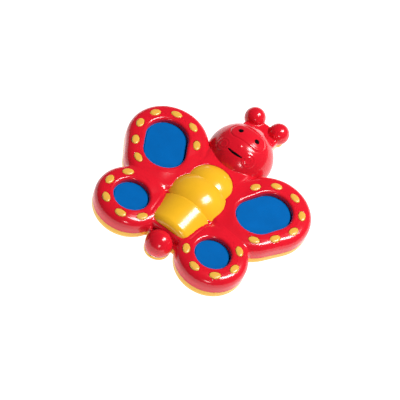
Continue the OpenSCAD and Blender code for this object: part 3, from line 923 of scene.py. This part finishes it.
def join_parts(parts):
    vertices, faces = [], []
    for part_vertices, part_faces in parts:
        start = len(vertices)
        vertices += part_vertices
        faces += [tuple(start + i for i in face) for face in part_faces]
    return vertices, faces


STUD_DOME = 0.62
STUD_FULLNESS = 0.62
STUD_SHOULDER = 0.12
STUD_RINGS = 8
STUD_SIDES = 36
STRIP_STEPS = 48
STRIP_MARGIN = 3.2


def stud_solid(at, heading):
    """One domed oval stud, from its strip up to its crest."""
    surface = float(top_height(tuple(np.array([c]) for c in (at[0], at[1], RIM_Z)))[0])
    shoulder = surface - STUD_SHOULDER
    levels = [(STRIP_Z + STRIP_T / 2, 1.0), (shoulder, 1.0)]
    for i in range(1, STUD_RINGS + 1):
        a = math.radians(90 * i / (STUD_RINGS + 0.5))
        levels.append((shoulder + STUD_DOME * math.sin(a), math.cos(a) ** STUD_FULLNESS))
    rings = []
    for z, size in levels:
        ring = []
        for j in range(STUD_SIDES):
            t = 2 * math.pi * j / STUD_SIDES
            u, v = size * STUD_LEN / 2 * math.cos(t), size * STUD_WID / 2 * math.sin(t)
            x = at[0] + u * math.cos(heading) - v * math.sin(heading)
            y = at[1] + u * math.sin(heading) + v * math.cos(heading)
            ring.append((x, y, z))
        rings.append(ring)
    return stack_rings(rings)


def strip_solid(r, half, start, end, centre, tilt):
    """The thin strip under a row of studs, swept along the stud line."""
    rings = []
    for i in range(STRIP_STEPS + 1):
        point, heading = edge_point(start + (end - start) * i / STRIP_STEPS, r, half)
        at, heading = placed(point, heading, centre, tilt)
        side = (-math.sin(heading), math.cos(heading))
        ring = []
        for w, z in ((-1, 0), (1, 0), (1, 1), (-1, 1)):
            x = at[0] + side[0] * w * STRIP_HALF
            y = at[1] + side[1] * w * STRIP_HALF
            ring.append((x, y, STRIP_Z + z * STRIP_T))
        rings.append(ring)
    vertices, faces = stack_rings(rings)
    return vertices, [tuple(reversed(f)) for f in faces]


def mirrored(part):
    vertices, faces = part
    return [(-x, y, z) for x, y, z in vertices], [tuple(reversed(f)) for f in faces]


def build_studs():
    upper_line = (UPPER_STUD_R, UPPER_WINDOW["half"])
    upper_place = (UPPER_WINDOW["centre"], UPPER_WINDOW["tilt"])
    lower_line = (LOWER_STUD_R, 0)
    lower_place = (LOWER_WINDOW["centre"], LOWER_STUD_TILT)
    rows = {
        "upper": (upper_stud_places(), upper_line, UPPER_STUD_START, upper_place),
        "lower": (lower_stud_places(), lower_line, 0, lower_place),
    }
    for row, (places, line, start, place) in rows.items():
        end = start + (len(places) - 1) * STUD_PITCH
        parts = [stud_solid(at, heading) for at, heading in places]
        parts.append(strip_solid(*line, start - STRIP_MARGIN, end + STRIP_MARGIN, *place))
        whole = join_parts(parts)
        for side, part in (("right", whole), ("left", mirrored(whole))):
            name = f"stud_row_{row}_{side}"
            mesh = mesh_from(name, *part)
            add_piece(name, mesh, STUD_YELLOW, [f"studs_{row}_{side}"])


EYE_FOOT = -1.25
EYE_DOME = 0.14
EYE_DOME_ANGLES = (20, 40, 60, 80)
EYE_SIDES = 28


def build_eyes():
    """Two low-domed round pins, pushed in square to the head."""
    axis = Vector(EYE_AXIS)
    across = axis.orthogonal().normalized()
    other = axis.cross(across)
    levels = [(EYE_FOOT, 1.0), (0.0, 1.0)]
    for degrees in EYE_DOME_ANGLES:
        a = math.radians(degrees)
        levels.append((EYE_DOME * math.sin(a), math.cos(a) ** 0.5))
    rings = []
    for height, size in levels:
        ring = []
        for j in range(EYE_SIDES):
            t = 2 * math.pi * j / EYE_SIDES
            offset = (across * math.cos(t) + other * math.sin(t)) * EYE_R * size
            ring.append(tuple(Vector(HEAD) + axis * (HEAD_R + height) + offset))
        rings.append(ring)
    eye = stack_rings(rings)
    mesh = mesh_from("eye_pins", *join_parts([eye, mirrored(eye)]))
    add_piece("eye_pins", mesh, BLACK, ["eyes"])


MOUTH_CONE = math.radians(54.8)
MOUTH_LEAN = math.radians(17.7)
MOUTH_SPAN = math.radians(46)
MOUTH_TIP = 0.05
MOUTH_WIDE = 0.72
MOUTH_TAPER = 0.8
MOUTH_SUNK = 0.1
MOUTH_THICK = 0.22
MOUTH_STEPS = 40
MOUTH_SIDES = 10


def build_mouth():
    """A smile that tapers to points, inlaid along a small circle of the head."""
    lean = Matrix.Rotation(-MOUTH_LEAN, 3, "X")
    rings = []
    for i in range(MOUTH_STEPS + 1):
        share = i / MOUTH_STEPS
        angle = -math.pi / 2 + MOUTH_SPAN * (share - 0.5)
        width = MOUTH_TIP + MOUTH_WIDE * math.sin(math.pi * share) ** MOUTH_TAPER
        ring = []
        for j in range(MOUTH_SIDES):
            t = 2 * math.pi * j / MOUTH_SIDES
            cone = MOUTH_CONE + width * math.cos(t) / HEAD_R
            r = HEAD_R - MOUTH_SUNK + MOUTH_THICK * math.sin(t)
            plan = math.sin(cone)
            point = Vector((plan * math.cos(angle), plan * math.sin(angle), math.cos(cone))) * r
            spot = lean @ point
            spot.x *= HEAD_WIDER
            spot.y *= HEAD_LONGER
            ring.append(tuple(Vector(HEAD) + spot))
        rings.append(ring)
    add_piece("smile", mesh_from("smile", *stack_rings(rings)), BLACK, ["mouth"])


GUIDE_MOUTH_ROUND = 0.45
GUIDE_RIM_BEVEL = 0.3
GUIDE_BACK_BEVEL = 0.4
GUIDE_SIDES = 56
ROUND_MIDDLE = 0.29


def build_guide():
    """The flanged eyelet, turned about Y, with a rounded mouth."""
    bore, neck, flange = GUIDE_BORE, GUIDE_NECK, GUIDE_FLANGE
    back, front = GUIDE_Y
    inner_face, outer_face = back + FLANGE_T, front - FLANGE_T
    mouth, rim = GUIDE_MOUTH_ROUND, GUIDE_RIM_BEVEL
    profile = [
        (bore + GUIDE_BACK_BEVEL, back),
        (flange, back),
        (flange, inner_face),
        (neck, inner_face),
        (neck, outer_face),
        (flange, outer_face),
        (flange, front - rim),
        (flange - rim, front),
        (bore + mouth, front),
        (bore + mouth * ROUND_MIDDLE, front - mouth * ROUND_MIDDLE),
        (bore, front - mouth),
        (bore, back + GUIDE_BACK_BEVEL),
    ]
    count = GUIDE_SIDES
    vertices, faces = [], []
    for j in range(count):
        t = 2 * math.pi * j / count
        vertices += [(r * math.cos(t), y, JOINT_Z + r * math.sin(t)) for r, y in profile]
    size = len(profile)
    for j in range(count):
        k = (j + 1) % count
        for i in range(size):
            n = (i + 1) % size
            faces.append((j * size + i, j * size + n, k * size + n, k * size + i))
    mesh = mesh_from("guide_eyelet", vertices, faces)
    add_piece("guide_eyelet", mesh, ACETAL, ["cord_guide"])


# Grids that the fields are meshed on: from (0, back, bottom) to (side, front, top).
# Known fault: the yellow grid stops short of the nubs' front, at y 73.2, and leaves them open there.
RED_GRID = ((0, -43.5, 2.0), (57.2, 76.2, 26.0))
YELLOW_GRID = ((0, -43.5, -1.2), (57.2, 71.2, 12.0))
DOME_GRID = ((0, -28.5, 10.2), (19.5, 31.0, 22.2))

field_piece("red_shell", red_field, *RED_GRID, RED, ["top_shell"], "red_gloss")
field_piece("yellow_shell", yellow_field, *YELLOW_GRID, YELLOW, ["bottom_shell"], "yellow_gloss")
field_piece("body_dome", cover_field, *DOME_GRID, YELLOW, ["body_cover"], "yellow_gloss")
build_studs()
build_eyes()
build_mouth()
build_guide()


# ---- Stage, light and camera

VIEW_RIGHT = Vector((0.800, 0.555, 0.229))
VIEW_UP = Vector((-0.573, 0.591, 0.568))
VIEW_BACK = Vector((0.179, -0.585, 0.791))
VIEW_CENTRE = Vector((2.46, -1.26, 14.05)) * MM
VIEW_DISTANCE = 1.007
LENS = 174.7

LIGHT_DISTANCE = 1.0
KEY = dict(toward=(0.33, 0.33, 0.88), width=0.27, height=0.48, watts=12.0, roll=math.radians(38))
FRONT_FILL = dict(toward=(0.45, -0.72, 0.52), width=0.16, height=0.16, watts=1.6)

# World brightness: (from, to) of the direction's component, then the levels at its two ends
SKY_FADE = (0.30, 0.72, 1.9, 0.22)
BACK_FADE = (-0.7, 0.3, 0.42, 1.0)

FLOOR_HALF = 3.0
FLOOR_DROP = 0.03 * MM
FLOOR_TONE = 0.25
FLOOR_GLOW = 1.25


def build_camera():
    data = bpy.data.cameras.new("camera")
    data.lens = LENS
    data.sensor_width = 36.0
    data.clip_start = 0.05
    data.clip_end = 20.0
    camera = bpy.data.objects.new("camera", data)
    bpy.context.scene.collection.objects.link(camera)
    turn = Matrix((VIEW_RIGHT, VIEW_UP, VIEW_BACK)).transposed().to_4x4()
    camera.matrix_world = Matrix.Translation(VIEW_CENTRE + VIEW_BACK * VIEW_DISTANCE) @ turn
    bpy.context.scene.camera = camera


def build_floor():
    """A floor that glows past white, so that no shadow shows on it, a hair below the underside."""
    mesh = bpy.data.meshes.new("floor")
    turns = ((-1, -1), (1, -1), (1, 1), (-1, 1))
    corners = [(x * FLOOR_HALF, y * FLOOR_HALF, -FLOOR_DROP) for x, y in turns]
    mesh.from_pydata(corners, [], [(0, 1, 2, 3)])
    floor = bpy.data.objects.new("floor", mesh)
    bpy.context.scene.collection.objects.link(floor)
    grey = (FLOOR_TONE,) * 3
    look = Look("floor_look", grey, 0.9, Specular_IOR_Level=0.0, Emission_Strength=FLOOR_GLOW)
    look.shader.inputs["Emission Color"].default_value = (1, 1, 1, 1)
    tone = look.spread(look.noise(60, 2), 0.3, 0.7, 0.0, 1.0)
    mesh.materials.append(look.finish(look.mix(tone, shade(grey, 0.98), shade(grey, 1.02))))


def area_light(name, toward, width, height, watts, roll=0.0):
    """A softbox seen from the toy in the direction toward."""
    data = bpy.data.lights.new(name, "AREA")
    data.shape = "RECTANGLE"
    data.size = width
    data.size_y = height
    data.energy = watts
    light = bpy.data.objects.new(name, data)
    bpy.context.scene.collection.objects.link(light)
    direction = Vector(toward).normalized()
    facing = direction.to_track_quat("Z", "Y").to_matrix() @ Matrix.Rotation(roll, 3, "Z")
    light.matrix_world = Matrix.Translation(direction * LIGHT_DISTANCE) @ facing.to_4x4()


def build_world():
    """Bright low surroundings behind, dimmer above and in front."""
    world = bpy.data.worlds.new("studio")
    bpy.context.scene.world = world
    world.use_nodes = True
    tree = world.node_tree
    place = tree.nodes.new("ShaderNodeTexCoord")
    split = tree.nodes.new("ShaderNodeSeparateXYZ")
    tree.links.new(place.outputs["Generated"], split.inputs["Vector"])
    product = tree.nodes.new("ShaderNodeMath")
    product.operation = "MULTIPLY"
    for i, (axis, limits) in enumerate((("Z", SKY_FADE), ("Y", BACK_FADE))):
        fade = tree.nodes.new("ShaderNodeMapRange")
        fade.interpolation_type = "SMOOTHSTEP"
        for socket, value in zip(RANGE_SOCKETS, limits):
            fade.inputs[socket].default_value = value
        tree.links.new(split.outputs[axis], fade.inputs["Value"])
        tree.links.new(fade.outputs["Result"], product.inputs[i])
    tree.links.new(product.outputs["Value"], tree.nodes["Background"].inputs["Strength"])


build_floor()
build_world()
area_light("key", **KEY)
area_light("front_fill", **FRONT_FILL)
build_camera()

scene = bpy.context.scene
scene.view_settings.view_transform = "Standard"
